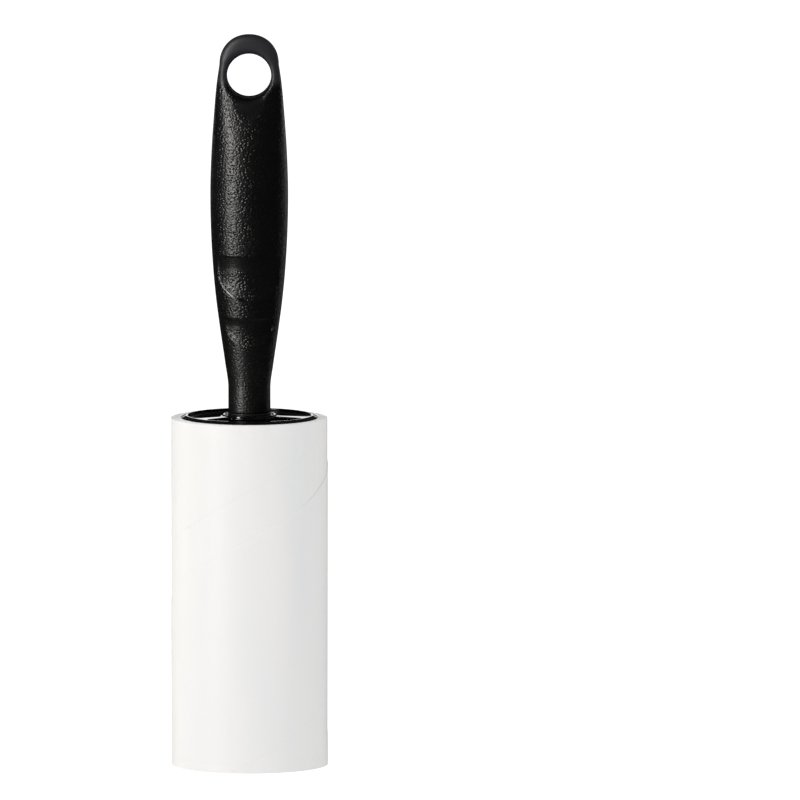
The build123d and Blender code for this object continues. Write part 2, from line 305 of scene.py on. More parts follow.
def grip_solid(x, y, z):
    """The whole grip, hollow, with its dishes, hole and spindle socket."""
    blank = grip_blank(x, y, z)
    front_share = np.clip(-y / 2.0, 0, 1)
    shape = blank + dish_depth(x, z) * front_share
    shape = blend_max(shape, NECK_BOTTOM - z, edge=0.5)
    hole = np.hypot(x, z - HOLE_Z) - HOLE_RADIUS
    shape = cut(shape, hole, edge=2.2)
    cavity = blend_max(blank + CAVITY_WALL, slab(z, CAVITY_BOTTOM, CAVITY_TOP), edge=1.0)
    shape = cut(shape, cavity, edge=0.3)
    socket = np.maximum(np.hypot(x, y) - JOURNAL_RADIUS - SEAT_GAP, z - TANG_BOTTOM)
    tang = np.maximum(np.abs(x), np.abs(y)) - TANG_HALF_SIDE - SEAT_GAP
    tang = np.maximum(tang, slab(z, TANG_ROOT, TANG_TOP + SEAT_GAP))
    pin = np.maximum(pin_wall(y, z), np.abs(x) - PIN_HALF_LENGTH)
    return cut(shape, np.minimum(np.minimum(socket, tang), pin), edge=0.2)


def grip_front(x, y, z):
    half = blend_max(grip_solid(x, y, z), y, edge=0.4)
    return np.minimum(half, peg(x, y, z, gap=0))


def grip_rear(x, y, z):
    half = blend_max(grip_solid(x, y, z), -y, edge=0.4)
    return np.maximum(half, -peg(x, y, z, PEG_GAP))


def spindle(x, y, z):
    """Stepped shaft with a square tang, a groove for the clip and a hole for the lock pin."""
    r = np.hypot(x, y)
    steps = [drum(r, radius, z, low, high, edge) for radius, low, high, edge in SPINDLE_STEPS]
    square = blend_max(np.abs(x) - TANG_HALF_SIDE, np.abs(y) - TANG_HALF_SIDE, edge=0.5)
    tang = blend_max(square, slab(z, TANG_ROOT, TANG_TOP), edge=0.5)
    shaft = np.minimum(np.minimum.reduce(steps), tang)
    groove = np.maximum(CLIP_GROOVE_RADIUS - r, slab(z, CLIP_GROOVE_BOTTOM, CLIP_TOP))
    return cut(cut(shaft, groove, edge=0.1), pin_wall(y, z), edge=0.2)


def lock_pin(x, y, z):
    return blend_max(pin_wall(y, z), np.abs(x) - PIN_HALF_LENGTH, edge=0.5)


def thrust_washer(node, bore):
    """The field of a thrust washer."""
    low, high, outer = span(node)
    return lambda x, y, z: tube(np.hypot(x, y), bore, outer, z, low, high, edge=0.15)


def retaining_clip(x, y, z):
    """A flat ring, with six slots between its inner teeth."""
    r, turn = polar(x, y)
    bore = CLIP_GROOVE_RADIUS + SEAT_GAP
    body = tube(r, bore, CLIP_RADIUS, z, CLIP_BOTTOM, CLIP_TOP, edge=0.25)
    slot = np.abs(r * np.sin(from_nearest(turn, 6))) - CLIP_SLOT_HALF_WIDTH
    return cut(body, np.maximum(slot, r - CLIP_SLOT_END), edge=0.15)


def head_flange(x, y, z):
    """Top disc: sloping edge, flat ring, ribbed spokes, and a hub with a low leaning collar in a
    shallow groove."""
    r, turn = polar(x, y)
    out = np.maximum(r - FLANGE_FLAT_RADIUS, 0) / (FLANGE_RADIUS - FLANGE_FLAT_RADIUS)
    up = np.maximum(z - ROLL_LENGTH, 0) / FLANGE_HEIGHT
    slope = (out**EDGE_FULLNESS + up**EDGE_FULLNESS) ** (1 / EDGE_FULLNESS) - 1
    top = np.maximum(FLANGE_HEIGHT * slope, ROLL_LENGTH - z)
    top = cut(top, np.maximum(r - GROOVE_RADIUS, GROOVE_FLOOR - z), edge=0.1)
    collar = np.maximum(COLLAR_INNER - r, r - COLLAR_OUTER - COLLAR_LEAN * (HUB_TOP - z))
    collar = blend_max(collar, slab(z, COLLAR_BOTTOM, HUB_TOP), edge=0.2)
    top = blend_min(top, collar, edge=0.15)
    for part in (
        drum(r, COLLAR_FOOT_RADIUS, z, COLLAR_BOTTOM, GROOVE_FLOOR, edge=0.2),
        drum(r, HUB_RADIUS, z, HUB_BOTTOM, HUB_TOP, edge=0.4),
        tube(r, SPIGOT_BORE, SPIGOT_RADIUS, z, SPIGOT_BOTTOM, SPIGOT_TOP, edge=0.4),
    ):
        top = np.minimum(top, part)
    opening = np.minimum.reduce([window(r, turn, middle) for middle in WINDOW_CENTRES])
    top = cut(top, np.maximum(opening, WINDOW_BOTTOM - z), edge=0.2)
    count = len(WINDOW_CENTRES)
    off = from_nearest(turn, count, math.radians(WINDOW_CENTRES[0]) - math.pi / count)
    spoke = np.maximum(SPOKE_INNER - r, r - SPOKE_OUTER)
    spoke = np.maximum(np.abs(r * np.sin(off)) - SPOKE_HALF_WIDTH, spoke)
    spoke = blend_max(spoke, slab(z, SPIGOT_BOTTOM, SPOKE_TOP), edge=0.4)
    top = blend_min(top, spoke, edge=0.2)
    return cut(top, r - JOURNAL_RADIUS - RUNNING_GAP, edge=0.3)


def head_barrel(x, y, z):
    """Sleeve with six slots, three of which hold a grip finger with a pad on its end."""
    r, turn = polar(x, y)
    body = tube(r, BARREL_BORE, BARREL_RADIUS, z, BARREL_BOTTOM, BARREL_TOP, edge=0.12)
    along = r * (np.abs(from_nearest(turn, 6)) - math.radians(SLOT_HALF_SWEEP))
    body = cut(body, np.maximum(along, slab(z, SLOT_BOTTOM, SLOT_TOP)), edge=0.5)
    along = r * (np.abs(from_nearest(turn, 3)) - math.radians(FINGER_HALF_SWEEP))
    finger = blend_max(np.maximum(BARREL_BORE - r, r - BARREL_RADIUS), along, edge=0.5)
    finger = blend_max(finger, slab(z, FINGER_BOTTOM, FINGER_TOP), edge=0.5)
    pad = np.maximum(along, slab(z, PAD_BOTTOM, PAD_TOP))
    pad = blend_max(np.maximum(PAD_INNER - r, r - PAD_RADIUS), pad, edge=0.3)
    return np.minimum(body, np.minimum(finger, pad))


def head_end_cap(x, y, z):
    """Lead-in cone, web, six ribs below it and the lower bearing."""
    r, turn = polar(x, y)
    widening = (BARREL_RADIUS - CAP_LEAD_RADIUS) / (CAP_LEAD_TOP - CAP_BOTTOM)
    lead = np.minimum(CAP_LEAD_RADIUS + (z - CAP_BOTTOM) * widening, BARREL_RADIUS)
    body = blend_max(r - lead, slab(z, CAP_BOTTOM, BARREL_BOTTOM), edge=0.5)
    spigot = drum(r, SPIGOT_RADIUS, z, BARREL_BOTTOM - OVERLAP, CAP_TOP, edge=0.4)
    body = np.minimum(body, spigot)
    body = cut(body, np.maximum(r - CAP_SKIRT_BORE, z - CAP_WEB_BOTTOM), edge=0.4)
    body = cut(body, np.maximum(r - SPIGOT_BORE, CAP_WEB_TOP - z), edge=0.3)
    rib = np.abs(r * np.sin(from_nearest(turn, 6))) - CAP_RIB_HALF_WIDTH
    rib = np.maximum(rib, np.maximum(CAP_RIB_INNER - r, r - CAP_RIB_OUTER))
    rib = blend_max(rib, slab(z, CAP_RIB_BOTTOM, CAP_RIB_TOP), edge=0.4)
    body = blend_min(body, rib, edge=0.3)
    hub = drum(r, HUB_RADIUS, z, CAP_WEB_TOP - OVERLAP, CAP_HUB_TOP, edge=0.4)
    body = blend_min(body, hub, edge=0.3)
    return cut(body, r - LOWER_JOURNAL_RADIUS - RUNNING_GAP, edge=0.3)


# Meshes


def finish_mesh(name, mesh, body, material, node):
    """Makes the object, colours it, sets it on its body and hides the CAD node it replaces."""
    piece = bpy.data.objects.new(name, mesh)
    bpy.context.scene.collection.objects.link(piece)
    mesh.materials.append(material)
    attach(piece, body)
    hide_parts(node)


def gradient(field, points):
    """The slope of a field at each point."""
    reach = 0.02
    return np.stack(
        [
            (field(*(points + shift).T) - field(*(points - shift).T)) / (2 * reach)
            for shift in np.eye(3) * reach
        ],
        axis=1,
    )


def field_mesh(name, field, step, adaptivity, low, high):
    """The zero surface of a field, with its points moved exactly onto it and its true normals."""
    margin, band = 2.5 * step, 3 * step
    low = low - margin
    counts = np.ceil((high + margin - low) / step).astype(int) + 1
    axes = [start + step * np.arange(count) for start, count in zip(low, counts)]
    values = field(*np.meshgrid(*axes, indexing="ij", sparse=True))
    values = np.ascontiguousarray(np.broadcast_to(values, counts), np.float32)
    grid = openvdb.FloatGrid(band)
    grid.copyFromArray(np.clip(values, -band, band))
    points, triangles, quads = grid.convertToPolygons(isovalue=0.0, adaptivity=adaptivity)
    points = points.astype(float) * step + low
    for _ in range(3):
        slope = gradient(field, points)
        steepness = np.maximum((slope**2).sum(1), 0.25)
        move = -(field(*points.T) / steepness)[:, None] * slope
        points += np.clip(move, -0.5 * step, 0.5 * step)
    normals = slope / np.sqrt(np.maximum((slope**2).sum(1), 1e-9))[:, None]
    mesh = bpy.data.meshes.new(name)
    mesh.from_pydata(points * MM, [], triangles.tolist() + quads.tolist())
    mesh.shade_smooth()
    mesh.normals_split_custom_set_from_vertices(normals)
    return mesh


def surface_mesh(name, points):
    """A skin through a grid of points that closes on itself along both of its axes."""
    rows, columns, _ = points.shape
    index = np.arange(rows * columns).reshape(rows, columns)
    right = np.roll(index, -1, axis=1)
    up = np.roll(index, -1, axis=0)
    both = np.roll(up, -1, axis=1)
    quads = np.stack([index, right, both, up], axis=-1)
    mesh = bpy.data.meshes.new(name)
    mesh.from_pydata(points.reshape(-1, 3) * MM, [], quads.reshape(-1, 4).tolist())
    mesh.shade_smooth()
    mesh.set_sharp_from_angle(angle=math.radians(30))
    return mesh


# Materials. Texture scales are for coordinates in metres.


def start_material(name):
    material = bpy.data.materials.new(name)
    material.use_nodes = True
    tree = material.node_tree
    tree.nodes.clear()
    shader = tree.nodes.new("ShaderNodeBsdfPrincipled")
    output = tree.nodes.new("ShaderNodeOutputMaterial")
    tree.links.new(shader.outputs["BSDF"], output.inputs["Surface"])
    return material, tree, shader


def feed(tree, socket, value):
    """Sets a socket to a number, or links it to another socket."""
    if isinstance(value, bpy.types.NodeSocket):
        tree.links.new(value, socket)
    else:
        socket.default_value = value


def math_node(tree, operation, *values):
    made = tree.nodes.new("ShaderNodeMath")
    made.operation = operation
    for socket, value in zip(made.inputs, values):
        feed(tree, socket, value)
    return made.outputs[0]


def add(tree, a, b):
    return math_node(tree, "ADD", a, b)


def less(tree, a, b):
    return math_node(tree, "SUBTRACT", a, b)


def times(tree, a, b):
    return math_node(tree, "MULTIPLY", a, b)


def weigh(tree, a, a_weight, b, b_weight):
    return add(tree, times(tree, a, a_weight), times(tree, b, b_weight))


def ramp_between(tree, value, low, high, to_low=0.0, to_high=1.0, smooth=False):
    """Turns the range from low to high into the range from to_low to to_high."""
    made = tree.nodes.new("ShaderNodeMapRange")
    if smooth:
        made.interpolation_type = "SMOOTHSTEP"
    for name, given in (
        ("Value", value),
        ("From Min", low),
        ("From Max", high),
        ("To Min", to_low),
        ("To Max", to_high),
    ):
        feed(tree, made.inputs[name], given)
    return made.outputs["Result"]


def fade(tree, coordinate, low, high, start=0.0, end=1.0):
    """A smooth change from start to end between two places, which are in millimetres."""
    return ramp_between(tree, coordinate, low * MM, high * MM, start, end, smooth=True)


def place(tree, scale=(1, 1, 1)):
    """Coordinates in metres in the part's own frame, stretched by scale."""
    spot = tree.nodes.new("ShaderNodeTexCoord").outputs["Object"]
    if scale == (1, 1, 1):
        return spot
    mapping = tree.nodes.new("ShaderNodeMapping")
    tree.links.new(spot, mapping.inputs["Vector"])
    mapping.inputs["Scale"].default_value = scale
    return mapping.outputs["Vector"]


def split(tree, vector):
    made = tree.nodes.new("ShaderNodeSeparateXYZ")
    tree.links.new(vector, made.inputs[0])
    return made.outputs


def join(tree, x, y, z):
    made = tree.nodes.new("ShaderNodeCombineXYZ")
    for socket, value in zip(made.inputs, (x, y, z)):
        feed(tree, socket, value)
    return made.outputs[0]


def noise(tree, vector, scale, detail, roughness=0.5):
    made = tree.nodes.new("ShaderNodeTexNoise")
    tree.links.new(vector, made.inputs["Vector"])
    made.inputs["Scale"].default_value = scale
    made.inputs["Detail"].default_value = detail
    made.inputs["Roughness"].default_value = roughness
    return made.outputs["Fac"]


def cells(tree, vector, scale, randomness):
    """Distance from the nearest of a field of scattered points."""
    made = tree.nodes.new("ShaderNodeTexVoronoi")
    tree.links.new(vector, made.inputs["Vector"])
    made.inputs["Scale"].default_value = scale
    made.inputs["Randomness"].default_value = randomness
    return made.outputs["Distance"]


def mix_colours(tree, share, low, high):
    """A colour between two, each of which is three numbers or a socket, chosen by share."""
    made = tree.nodes.new("ShaderNodeMix")
    made.data_type = "RGBA"
    feed(tree, made.inputs[0], share)
    for socket, colour in zip(made.inputs[6:8], (low, high)):
        feed(tree, socket, (*colour, 1) if isinstance(colour, tuple) else colour)
    return made.outputs[2]


def bump(tree, shader, height, distance):
    """Raises the surface by height, which goes from 0 to about 1, times distance in metres."""
    made = tree.nodes.new("ShaderNodeBump")
    made.inputs["Distance"].default_value = distance
    feed(tree, made.inputs["Height"], height)
    tree.links.new(made.outputs["Normal"], shader.inputs["Normal"])


def ellipse_mask(tree, across, up, middle, half_width, half_height):
    """1 outside an upright ellipse on the grip's front and back, 0 inside it."""
    one = math_node(tree, "DIVIDE", across, half_width * MM)
    other = math_node(tree, "DIVIDE", less(tree, up, middle * MM), half_height * MM)
    reach = add(tree, times(tree, one, one), times(tree, other, other))
    return ramp_between(tree, reach, 0.6, 1.5, smooth=True)


def ledge_line(tree, x, z, middle, drop, half_width):
    """1 on a thin line along a dish's lower left edge, 0 elsewhere; sizes in millimetres."""
    across = math_node(tree, "DIVIDE", x, half_width * MM)
    down = math_node(tree, "DIVIDE", less(tree, middle * MM, z), drop * MM)
    below = math_node(tree, "GREATER_THAN", down, 0.0)
    squares = add(
        tree, math_node(tree, "POWER", across, 2.0), math_node(tree, "POWER", down, 2.0)
    )
    reach = math_node(tree, "SQRT", squares)
    inner = ramp_between(tree, reach, 0.90, 0.94, smooth=True)
    outer = ramp_between(tree, reach, 1.03, 1.06, 1.0, 0.0, smooth=True)
    left = fade(tree, x, -8.5, -5.5, 0.2, 1.0)
    right = fade(tree, x, -2.0, 0.5, 1.0, 0.0)
    mask = times(tree, inner, outer)
    for part in (below, left, right):
        mask = times(tree, mask, part)
    return mask


GRAIN_STRETCH = (1, 1, 1.3)
PLAIN_FROM = (142.0, 125.5)  # from these heights to the top edge, the dishes have little grain


def grip_material():
    """Black polypropylene: spark grain with round pits, weaker on the neck, none on the tab's
    flat ring and just under the hole, little at the top of the dishes and on a ledge's lip. The
    flat ring's lighter bluish grey colour is painted sheen."""
    material, tree, shader = start_material("grip_plastic")
    spot = place(tree)
    x, y, z = split(tree, spot)
    grain_spot = place(tree, GRAIN_STRETCH)
    pit = cells(tree, grain_spot, scale=1080, randomness=0.85)
    pit = ramp_between(tree, pit, 0.0, 0.55, smooth=True)
    swell = noise(tree, grain_spot, scale=1700, detail=0.0)
    height = add(tree, pit, times(tree, swell, 0.7))
    ring = fade(tree, z, 194.8, 197.4)
    grained = less(tree, 1.0, ring)
    under_hole = ellipse_mask(tree, x, z, middle=194, half_width=4.2, half_height=7)
    grained = times(tree, grained, under_hole)
    neck = fade(tree, z, 110, 128, 1.0, 0.0)
    grained = times(tree, grained, ramp_between(tree, neck, 0, 1, 1.0, 0.6))
    front = fade(tree, y, -4, -2, 1.0, 0.0)
    for low, (_, _, _, top, _) in zip(PLAIN_FROM, DISHES):
        over = fade(tree, z, low, low + 2)
        under = fade(tree, z, top - 0.4, top + 0.4, 1.0, 0.0)
        plain = times(tree, times(tree, over, under), front)
        grained = times(tree, grained, less(tree, 1.0, times(tree, plain, 0.8)))
    lip = times(tree, front, ledge_line(tree, x, z, *DISHES[0][:3]))
    grained = times(tree, grained, less(tree, 1.0, times(tree, lip, 0.9)))
    cloud = noise(tree, spot, scale=120, detail=4.0)
    black = mix_colours(tree, cloud, (0.0008, 0.0008, 0.0010), (0.0022, 0.0022, 0.0025))
    # The tab's flat ring is painted a lighter bluish grey: painted sheen for the light its flat
    # face catches. Its smooth, rougher, ungrained finish is real.
    painted_ring_sheen = mix_colours(tree, cloud, (0.013, 0.0125, 0.019), (0.019, 0.0185, 0.027))
    tree.links.new(mix_colours(tree, ring, black, painted_ring_sheen), shader.inputs["Base Color"])
    rough = ramp_between(tree, ring, 0, 1, 0.34, 0.5)
    rough = add(tree, rough, ramp_between(tree, cloud, 0.3, 0.7, -0.03, 0.03))
    rough = add(tree, rough, times(tree, neck, 0.07))
    rough = less(tree, rough, times(tree, lip, 0.17))
    tree.links.new(rough, shader.inputs["Roughness"])
    shader.inputs["Specular IOR Level"].default_value = 0.6
    bump(tree, shader, times(tree, height, grained), 0.000115)
    return material


def plastic(name, dark, light, rough, wave):
    """A plain moulding: clouded colour and gloss, flow marks and hair scratches."""
    material, tree, shader = start_material(name)
    spot = place(tree)
    cloud = noise(tree, spot, scale=150, detail=4.0)
    tree.links.new(mix_colours(tree, cloud, dark, light), shader.inputs["Base Color"])
    hair = noise(tree, place(tree, (1, 1, 14)), scale=260, detail=5.0, roughness=0.7)
    mixed = weigh(tree, cloud, 0.5, hair, 0.5)
    gloss = ramp_between(tree, mixed, 0.3, 0.7, rough - 0.05, rough + 0.06)
    tree.links.new(gloss, shader.inputs["Roughness"])
    fine = noise(tree, spot, scale=1500, detail=3.0)
    bump(tree, shader, add(tree, hair, fine), wave)
    return material


def steel_material():
    """Zinc-plated steel: clouded colour and gloss, and fine brush marks."""
    material, tree, shader = start_material("zinc_steel")
    cloud = noise(tree, place(tree), scale=700, detail=5.0, roughness=0.7)
    colour = mix_colours(tree, cloud, (0.42, 0.42, 0.43), (0.66, 0.66, 0.67))
    tree.links.new(colour, shader.inputs["Base Color"])
    shader.inputs["Metallic"].default_value = 1.0
    tree.links.new(ramp_between(tree, cloud, 0.3, 0.7, 0.22, 0.4), shader.inputs["Roughness"])
    brushed = noise(tree, place(tree, (1, 12, 1)), scale=900, detail=4.0)
    bump(tree, shader, brushed, 0.000012)
    return material


WOUND_RADIUS = 20.0  # the roll's patterns are laid out on a tube of this radius


def wound(tree):
    """The way round the tube of a point on the roll, its height, and its distance from the
    axis, in metres."""
    x, y, z = split(tree, place(tree))
    r = math_node(tree, "SQRT", add(tree, times(tree, x, x), times(tree, y, y)))
    turn = math_node(tree, "ARCTAN2", y, x)
    return times(tree, turn, WOUND_RADIUS * MM), z, r


def kraft_material():
    """Brown board: long fibres round the tube, and darker and lighter blotches."""
    material, tree, shader = start_material("kraft_board")
    round_way, z, r = wound(tree)
    lie = join(tree, times(tree, round_way, 0.25), z, r)
    fibre = noise(tree, lie, scale=2200, detail=5.0, roughness=0.65)
    blotch = noise(tree, lie, scale=260, detail=4.0)
    shade = ramp_between(tree, weigh(tree, fibre, 0.65, blotch, 0.35), 0.32, 0.68)
    colour = mix_colours(tree, shade, (0.20, 0.10, 0.045), (0.50, 0.30, 0.16))
    tree.links.new(colour, shader.inputs["Base Color"])
    tree.links.new(ramp_between(tree, fibre, 0.3, 0.7, 0.7, 0.92), shader.inputs["Roughness"])
    bump(tree, shader, fibre, 0.00006)
    return material


def paper_material():
    """White sheet with a satin adhesive face: faint fibres, mottled gloss and soft upright
    creases, strongest by the free edge near the top."""
    material, tree, shader = start_material("adhesive_paper")
    round_way, z, r = wound(tree)
    lie = join(tree, round_way, z, r)
    fibre = noise(tree, lie, scale=1900, detail=4.0, roughness=0.6)
    upright = join(tree, round_way, times(tree, z, 0.15), r)
    mottle = noise(tree, upright, scale=90, detail=3.0)
    mixed = weigh(tree, fibre, 0.4, mottle, 0.6)
    shade = ramp_between(tree, mixed, 0.37, 0.63)
    colour = mix_colours(tree, shade, (0.846, 0.854, 0.866), (0.889, 0.879, 0.866))
    tree.links.new(colour, shader.inputs["Base Color"])
    tree.links.new(ramp_between(tree, mixed, 0.3, 0.7, 0.36, 0.5), shader.inputs["Roughness"])
    shader.inputs["Specular IOR Level"].default_value = 0.3
    creased = fade(tree, z, 62, 80)
    for low, high, start, end in ((-24, -13, 0.0, 1.0), (-3, 4, 1.0, 0.0)):
        creased = times(tree, creased, fade(tree, round_way, low, high, start, end))
    upright = join(tree, round_way, times(tree, z, 0.12), r)
    crease = noise(tree, upright, scale=400, detail=1.0)
    crease = times(tree, crease, ramp_between(tree, creased, 0, 1, 0.2, 1.4))
    bump(tree, shader, add(tree, crease, times(tree, mixed, 0.05)), 0.00026)
    return material


GRIP = grip_material()
GLOSS = plastic(
    "gloss_black", (0.0025, 0.0025, 0.003), (0.004, 0.004, 0.0045), rough=0.058, wave=0.000002
)
SATIN = plastic(
    "head_plastic", (0.007, 0.007, 0.008), (0.013, 0.013, 0.014), rough=0.34, wave=0.00002
)
ACETAL = plastic("acetal", (0.60, 0.60, 0.56), (0.68, 0.68, 0.65), rough=0.3, wave=0.00001)
WASHER = plastic(
    "filled_nylon", (0.006, 0.006, 0.007), (0.011, 0.011, 0.012), rough=0.42, wave=0.00001
)
STEEL = steel_material()
KRAFT = kraft_material()
PAPER = paper_material()


# Moulded and metal pieces

GRIP_STEP = 0.22
TOP_WASHER = thrust_washer("upper_thrust_washer", JOURNAL_RADIUS + SEAT_GAP)
LOW_WASHER = thrust_washer("lower_thrust_washer", LOWER_JOURNAL_RADIUS + SEAT_GAP)
MOULDED = [
    # name, CAD node, body, material, slot, field, grid step, merging of flat faces
    ("grip_front", "grip_front_shell", "handle", GRIP, "grip_plastic", grip_front, GRIP_STEP, 0),
    ("grip_rear", "grip_rear_shell", "handle", GRIP, "grip_plastic", grip_rear, GRIP_STEP, 0),
    ("spindle_shaft", "spindle", "handle", ACETAL, "spindle_plastic", spindle, 0.25, 0.01),
    ("cross_pin", "spindle_lock_pin", "handle", STEEL, "steel", lock_pin, 0.2, 0.01),
    ("thrust_washer_top", "upper_thrust_washer", "handle", WASHER, "washer_plastic", TOP_WASHER,
     0.12, 0.01),
    ("thrust_washer_low", "lower_thrust_washer", "handle", WASHER, "washer_plastic", LOW_WASHER,
     0.12, 0.01),
    ("push_clip", "retaining_clip", "handle", STEEL, "steel", retaining_clip, 0.12, 0.01),
    ("flange", "head_flange", "head", GLOSS, "gloss_black", head_flange, 0.16, 0.01),
    ("barrel", "head_barrel", "head", SATIN, "head_plastic", head_barrel, 0.28, 0.02),
    ("end_cap", "head_end_cap", "head", SATIN, "head_plastic", head_end_cap, 0.22, 0.01),
]
for name, node, body, material, slot, field, step, adaptivity in MOULDED:
    low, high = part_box(node)
    mesh = field_mesh(name, field, step, adaptivity, np.array(low) / MM, np.array(high) / MM)
    finish_mesh(name, mesh, body, material, node)


# Wound sheets

TEAR_PITCH = 78.0  # rise of the slanted edge in one turn
TEAR_FRONT_Z = 67.0
PLAY = 0.04  # the wound roll is this much smaller than the lifted edge of its last sheet
TURN_PITCH = (ROLL_RADIUS - PLAY - CORE_RADIUS) / SHEET_COUNT
AIR = 0.008  # between one wound sheet and the next
THICKNESS = 0.115
MARGIN = 2.65  # width of the dry margin at each end
MARGIN_DEPTH = 0.018
MARGIN_EDGE = 0.05
DOT_DEPTH = 0.08
PRESSED = 0.08  # how much thinner the free edge is where it lies flat
# As shares of the turn: the next tear line's place and the width of its dots, and how fast the
# free edge's lift and its thinning die away
PERFORATION = 295.0 / 360.0
DOT_WIDTH = 0.00045
LIFT_REACH = 0.006
PRESS_REACH = 0.001
rng = np.random.default_rng(7)


def ripple(turn, size):
    """A smooth closed random wave round the roll, mostly within size either way."""
    total = 0.0
    for number in range(1, 6):
        total = total + rng.normal() * np.cos(number * turn + rng.uniform(0, 6.3)) / number
    return size * total / 1.6


def skin(outline_r, outline_z, turn):
    """Points of a closed outline of radii and heights swept round the roll."""
    return np.stack(
        [outline_r * np.cos(turn), outline_r * np.sin(turn), outline_z + 0 * turn], axis=-1
    )


def outer_sheet():
    """The sheet in use: one turn that spirals in from its slanted free edge, with the dotted
    tear line of the next sheet and a dry margin at both ends."""
    by_edge = [0.0004, 0.0012, 0.0024]
    by_dots = PERFORATION + np.array([-DOT_WIDTH, 0, DOT_WIDTH])
    share = np.sort(np.concatenate([np.linspace(0, 1, 289), by_dots, by_edge]))
    margins = [MARGIN - MARGIN_EDGE, MARGIN + MARGIN_EDGE]
    margins = margins + [ROLL_LENGTH - margin for margin in margins]
    height = np.sort(np.concatenate([np.linspace(SHEET_BOTTOM, SHEET_TOP, 201), margins]))
    s, z = np.meshgrid(share, height)
    turn = math.radians(-90) + 2 * math.pi * ((z - TEAR_FRONT_Z) / TEAR_PITCH + s)
    lift = 0.5 + 0.5 * np.cos(z * 0.21 + 1.0) * np.cos(z * 0.083)  # an uneven slow wave
    lift *= np.clip((z - 8) / 14, 0, 1)  # the edge lies flat near the roll's lower end
    radius = ROLL_RADIUS - PLAY - TURN_PITCH * s + PLAY * lift * np.exp(-s / LIFT_REACH)
    for from_end in (z, ROLL_LENGTH - z):
        radius -= MARGIN_DEPTH * np.clip((MARGIN - from_end) / MARGIN_EDGE, 0, 1)
    on_line = np.abs(s - PERFORATION) < DOT_WIDTH / 2
    every_other = np.arange(len(height))[:, None] % 2 == 0
    radius -= np.where(on_line & every_other, DOT_DEPTH, 0.0)
    inner = radius - THICKNESS
    radius -= PRESSED * (1 - lift) * np.exp(-s / PRESS_REACH)
    outline_r = np.concatenate([radius, inner[::-1]])
    outline_z = np.concatenate([z, z[::-1]])
    points = skin(outline_r, outline_z, np.concatenate([turn, turn[::-1]]))
    rows, columns = points.shape[:2]
    index = np.arange(rows * columns).reshape(rows, columns)
    up = np.roll(index, -1, axis=0)
    quads = np.stack([index[:, :-1], index[:, 1:], up[:, 1:], up[:, :-1]], axis=-1)
    faces = quads.reshape(-1, 4).tolist()
    for column, order in ((0, 1), (columns - 1, -1)):
        for row in range(len(height) - 1):
            back = rows - 1 - row
            face = index[[row, row + 1, back - 1, back], column].tolist()
            faces.append(face[::order])
    mesh = bpy.data.meshes.new("sheet_in_use")
    mesh.from_pydata(points.reshape(-1, 3) * MM, [], faces)
    mesh.shade_smooth()
    mesh.set_sharp_from_angle(angle=math.radians(40))
    return mesh


def wound_sheet(name, inner, outer):
    """A sheet below the one in use: a thin tube with slightly rounded, slightly uneven ends."""
    segments, bevel, wave = 180, 0.02, 0.035
    turn = np.linspace(0, 2 * math.pi, segments, endpoint=False)
    top = SHEET_TOP + ripple(turn, wave) - wave
    bottom = SHEET_BOTTOM + ripple(turn, wave) + wave
    outline = [
        (inner, bottom + bevel),
        (inner + bevel, bottom),
        (outer - bevel, bottom),
        (outer, bottom + bevel),
        (outer, top - bevel),
        (outer - bevel, top),
        (inner + bevel, top),
        (inner, top - bevel),
    ]
    points = np.stack([skin(np.full(segments, r), z, turn) for r, z in outline])
    return surface_mesh(name, points)


finish_mesh("sheet_in_use", outer_sheet(), "refill", PAPER, "sheet_01")
below_first = ROLL_RADIUS - PLAY - 2 * TURN_PITCH
inner_pitch = (below_first - CORE_RADIUS) / (SHEET_COUNT - 1)
for number in range(2, SHEET_COUNT + 1):
    outside = below_first - (number - 2) * inner_pitch
    name = f"wound_sheet_{number:02d}"
    mesh = wound_sheet(name, outside - inner_pitch + AIR, outside)
    finish_mesh(name, mesh, "refill", PAPER, f"sheet_{number:02d}")


# Core


def core_skin(name, inner, outer, seam_pitch, seam_inside):
    """A spirally wound board tube: its visible face has a butt seam that runs round it."""
    segments, levels, bevel = 256, 161, 0.06
    seam_depth, seam_width = 0.10, 0.45
    turn = np.linspace(0, 2 * math.pi, segments, endpoint=False)[None, :]
    z = np.linspace(0, ROLL_LENGTH, levels)[:, None]
    away = ((z / seam_pitch - turn / (2 * math.pi)) % 1.0 - 0.5) * seam_pitch
    seam = seam_depth * np.exp(-((away / seam_width) ** 2))
    z = z + 0 * turn
    z[0] += bevel
    z[-1] -= bevel
    end = np.stack([np.full(segments, inner + bevel), np.full(segments, outer - bevel)])
    points = np.concatenate(
        [
            skin(outer - seam * (not seam_inside), z, turn),
            skin(end[::-1], np.full((2, 1), ROLL_LENGTH), turn),
            skin((inner + seam * seam_inside)[::-1], z[::-1], turn),
            skin(end, np.zeros((2, 1)), turn),
        ]
    )
    return surface_mesh(name, points)


lining = core_skin("core_lining", BORE_RADIUS, PLY_RADIUS, seam_pitch=62.0, seam_inside=True)
finish_mesh("core_lining", lining, "refill", KRAFT, "core_inner_ply")
wrap = core_skin("core_wrap", PLY_RADIUS + 0.02, CORE_RADIUS, seam_pitch=55.0, seam_inside=False)
finish_mesh("core_wrap", wrap, "refill", KRAFT, "core_outer_ply")


# Studio, in metres

FLOOR_REACH = 12.0
FLOOR_Z = -0.125  # low enough for the refill to slide off above it
FLOOR_PAINT = 0.80
FLOOR_GLOW = 0.45
AMBIENT = 0.925
MIDDLE = Vector((0, 0, 0.11))  # what the lights point at
WHITE = (1, 1, 1)
WARM = (1.0, 0.94, 0.85)


def stage_object(name, vertices, faces, material):
    mesh = bpy.data.meshes.new(name)
    mesh.from_pydata(vertices, [], faces)
    mesh.materials.append(material)
    made = bpy.data.objects.new(name, mesh)
    bpy.context.scene.collection.objects.link(made)
    made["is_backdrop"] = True
    return made


